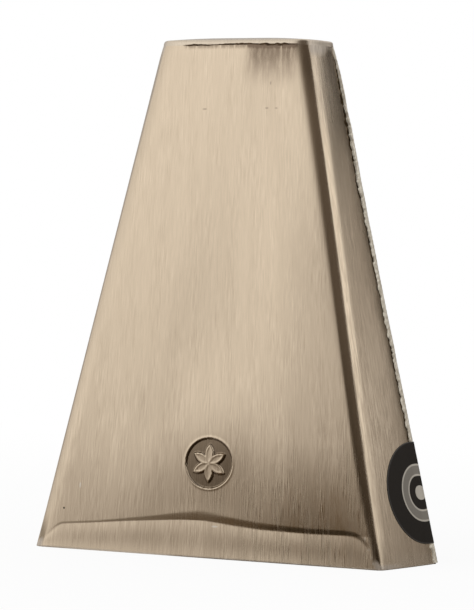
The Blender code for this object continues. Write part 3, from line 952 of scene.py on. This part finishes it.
def seam_scale(name, turn, seed, side):
    """Dark scale along one toe of a bead, above the label: widest and most notched near the crown."""
    z = np.linspace(SCALE_FOOT, SCALE_TOP, 530)
    toe = toe_line(z, seed)
    strength = between(0.4, 1.0, climb(z, 130, 175)) * climb(z, NOTCHES_GONE_AT, NOTCHES_FULL_TO)
    width = 0.25 + strength * (0.5 + 0.5 * toe_notch(z, seed) + 0.45 * wander(z, 1.3, seed + 7))
    width = np.maximum(width + 0.15 * wander(z, 9.0, seed + 8), 0.04)
    rows = []
    for start, share, lift in ((-1.2, 0.0, -0.3), (-1.2, 0.0, 0.03), (0.0, 0.85, 0.03), (0.0, 1.0, -0.3)):
        place = np.maximum(toe + start + share * width, 0.02)
        rows.append(seam_points(z, -side * place, lift))
    return tube(name, rows, turn)


def label():
    """The vinyl disc, bent over the seam, sagging to both sides of it and bridging the bead."""
    radius = LABEL_RADIUS * np.concatenate([[0.03], np.linspace(0.08, 0.985, 26), [1.0]])[:, None]
    angle = np.linspace(0.0, 2.0 * math.pi, LABEL_SIDES, endpoint=False)[None, :]
    across = radius * np.cos(angle) - LABEL_SHIFT
    up = radius * np.sin(angle)
    low, high = (Section(np.array(level), np.array(0.0)).reach for level in (0.0, SHELL_HEIGHT))
    lean = math.atan2(low - high, SHELL_HEIGHT)
    height = LABEL_HEIGHT + up * math.cos(lean) - LABEL_SAG * np.abs(across)
    bridge = 1.0 - ease(np.abs(across) / LABEL_BRIDGE)
    points = seam_points(height, across, LABEL_LIFT + LABEL_BRIDGE_LIFT * bridge, bridge)
    values = {"print": np.stack([across + LABEL_SHIFT, up, 0.0 * across], axis=2)}
    made = grid_object("round_label", points, wrap_columns=True, caps=end_caps(points)[:1], values=values)
    skin = made.modifiers.new("vinyl", "SOLIDIFY")
    skin.thickness = LABEL_THICKNESS * MM
    skin.offset = 1.0
    return made


def floor():
    """Pale floor that reads white and keeps the bell's soft shadow."""
    bpy.ops.mesh.primitive_circle_add(vertices=96, radius=6.0, fill_type="NGON")
    made = bpy.context.object
    made.name = "floor"
    material, f = new_finish("pale_floor")
    paint = f.node("BsdfDiffuse", None, {"Color": FLOOR_PAINT})
    glow = f.node("Emission", None, {"Color": WHITE, "Strength": 1.0})
    away = f.length(f.node("NewGeometry", out="Position"))
    surface = f.node("MixShader", None, {0: f.seen() * f.step(away, 0.1, 0.7, 0.92, 1.0), 1: paint, 2: glow})
    f.node("OutputMaterial", None, {"Surface": surface})
    made.data.materials.append(material)


def studio_cards():
    """Grey and black cards round the set, which only the metal sees."""
    foot = ring_points(0.0, 0.7, level=0.02)
    ways = foot[:, :2] / np.hypot(foot[:, 0], foot[:, 1])[:, None]
    rows = [np.column_stack([ways * reach, np.full(len(ways), z)]) for reach, z in CARD_PROFILE]
    made = grid_object("studio_cards", np.stack([foot] + rows), wrap_columns=True)
    made.data.materials.append(card_greys())
    for ray in ("camera", "diffuse", "transmission", "volume_scatter", "shadow"):
        setattr(made, "visible_" + ray, False)


def card_greys():
    """The cards' light, painted by the azimuth from the front and the rise above the bell's middle."""
    material, f = new_finish("card_greys")
    across, along, up = f.split(f.node("NewGeometry", out="Position"))
    turn = f.node("Math", {"operation": "ARCTAN2"}, {0: across, 1: -1.0 * along})
    reach = f.length(f.node("CombineXYZ", None, {0: across, 1: along}))
    rise = f.node("Math", {"operation": "ARCTAN2"}, {0: up - STAGE_MIDDLE, 1: reach})
    ahead = f.sector(turn, -85, -60, 130, 144)

    stops = [((azimuth + 180) / 360, card_grey(level)) for azimuth, level in SET_GREYS]
    colour = f.node("ValToRGB", {"stops": stops}, {0: turn / (2.0 * math.pi) + 0.5})
    low = 1.0 - f.sweep(rise, -2.5, 12.5)
    near = f.sweep(turn, -34, -14) * ahead
    colour = f.blend(low * (0.36 + 0.78 * near), colour, LOW_CARD)
    deep = f.sector(rise, -59, -50, -14, -3)
    colour = f.blend(0.85 * deep * ahead, colour, FLOOR_CARD)

    corner = f.sector(turn, -4, 8, 52, 60)
    corner = corner * (0.48 * f.sweep(rise, 20, 15) + 0.48 * f.sweep(rise, 17, 9))
    strip = f.sector(turn, 55, 63, 100, 110) * f.sweep(rise, 15.6, 14.2)
    colour = f.blend(corner + 0.36 * strip, colour, CORNER_CARD)
    stops = [(angle / 90, card_grey(level)) for angle, level in SIDE_GREYS]
    side = f.node("ValToRGB", {"stops": stops}, {0: rise / (math.pi / 2.0)})
    colour = f.tint(f.sector(turn, 93, 118, 150, 172), colour, side)

    behind = (1.0 - ahead) * f.sweep(rise, 2, -8)
    colour = f.blend(0.85 * behind, colour, REAR_CARD)
    overhead = f.sweep(turn, 92, 104) + f.sweep(turn, 0, -20)
    colour = f.blend(overhead * f.sweep(rise, 26, 36), colour, OVERHEAD_CARD)
    colour = f.blend(f.sweep(rise, 62, 80), colour, TOP_CARD)
    glow = f.node("Emission", None, {"Color": colour, "Strength": 1.0})
    f.node("OutputMaterial", None, {"Surface": glow})
    return material


def card_grey(level):
    """A card's grey: neutral when pale, warmer as it darkens."""
    warm = (1.0 - level) ** 3
    return level, level * (1.0 - 0.25 * warm), level * (1.0 - 0.45 * warm)


def world_light():
    """Even light from all round, white where it is seen and weaker where it lights the bell."""
    world = bpy.data.worlds.new("studio")
    bpy.context.scene.world = world
    world.use_nodes = True
    f = Finish(world.node_tree)
    sky = f.node("Background", None, {"Color": WHITE, "Strength": 0.7 + 0.3 * f.seen()})
    f.node("OutputWorld", None, {"Surface": sky})


def outward(azimuth, rise):
    """Direction from the bell at that azimuth from the front and that rise."""
    return Vector((math.sin(azimuth) * math.cos(rise), -math.cos(azimuth) * math.cos(rise), math.sin(rise)))


def softbox(name, azimuth, rise, distance, size, power):
    """A square lamp that faces the bell and isn't mirrored in it."""
    data = bpy.data.lights.new(name, "AREA")
    data.energy = power
    data.size = size
    lamp = bpy.data.objects.new(name, data)
    bpy.context.scene.collection.objects.link(lamp)
    back = outward(azimuth, rise)
    lamp.location = Vector((0.0, 0.0, STAGE_MIDDLE)) + back * distance
    lamp.rotation_mode = "QUATERNION"
    lamp.rotation_quaternion = back.to_track_quat("Z", "Y")
    lamp.visible_glossy = False


def camera():
    """The camera, rolled about its view and then turned a little off the bell's middle."""
    back = outward(CAMERA_AZIMUTH, CAMERA_RISE)
    level = Vector((math.cos(CAMERA_AZIMUTH), math.sin(CAMERA_AZIMUTH), 0.0))
    upright = back.cross(level)
    across = level * math.cos(CAMERA_ROLL) + upright * math.sin(CAMERA_ROLL)
    up = upright * math.cos(CAMERA_ROLL) - level * math.sin(CAMERA_ROLL)
    place = Vector((0.0, 0.0, CAMERA_MIDDLE)) + back * CAMERA_DISTANCE
    back = (back - across * CAMERA_AIM[0] - up * CAMERA_AIM[1]).normalized()
    across = up.cross(back).normalized()
    up = back.cross(across)
    data = bpy.data.cameras.new("photo_camera")
    data.sensor_width = 36.0
    data.lens = CAMERA_LENS
    data.clip_start = 0.05
    data.clip_end = 50.0
    made = bpy.data.objects.new("photo_camera", data)
    bpy.context.scene.collection.objects.link(made)
    made.matrix_world = Matrix.Translation(place) @ Matrix((across, up, back)).transposed().to_4x4()
    bpy.context.scene.camera = made


def build_bell():
    shell_steel = brushed_steel("shell_steel", SHELL_LIGHT, SHELL_DARK)
    cap_steel = brushed_steel("cap_steel", CAP_LIGHT, CAP_DARK)
    bead_metal = weld_metal()
    scale_black = weld_scale()
    slit_soot = joint_soot()
    dress(half_shell("front_half", True, 0.0), shell_steel, "brushed_steel", "front_shell")
    dress(half_shell("rear_half", False, math.pi), shell_steel, "brushed_steel", "rear_shell")
    dress(crown_cap(), cap_steel, "brushed_steel", "crown_cap")
    dress(crown_joint(), cap_steel, "weld_metal", "crown_weld")
    dress(crown_slit("front_crown_slit", -22.0, 25.0, 5, 0.0), slit_soot, "weld_metal")
    dress(crown_slit("rear_crown_slit", -24.0, 20.0, 15, math.pi), slit_soot, "weld_metal")
    for name, turn, seed in (("right", 0.0, 30), ("left", math.pi, 60)):
        dress(seam_bead(name + "_seam_bead", turn, seed), bead_metal, "weld_metal", name + "_seam_weld")
        dress(seam_scale(name + "_front_scale", turn, seed, 1.0), scale_black, "weld_metal")
        dress(seam_scale(name + "_rear_scale", turn, seed + 2, -1.0), scale_black, "weld_metal")
    dress(label(), label_vinyl(), "label_vinyl", "side_label")


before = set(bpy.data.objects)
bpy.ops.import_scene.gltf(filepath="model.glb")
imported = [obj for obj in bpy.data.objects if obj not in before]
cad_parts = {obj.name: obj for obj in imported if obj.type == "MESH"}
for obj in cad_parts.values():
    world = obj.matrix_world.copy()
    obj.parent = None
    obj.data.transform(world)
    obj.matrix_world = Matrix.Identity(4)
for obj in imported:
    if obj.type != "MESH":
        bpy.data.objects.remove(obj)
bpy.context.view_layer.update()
scene = bpy.context.scene
scene.view_settings.view_transform = "Standard"
build_bell()
floor()
studio_cards()
world_light()
softbox("key_softbox", math.radians(-42), math.radians(38), 1.6, 1.2, 8.0)
camera()
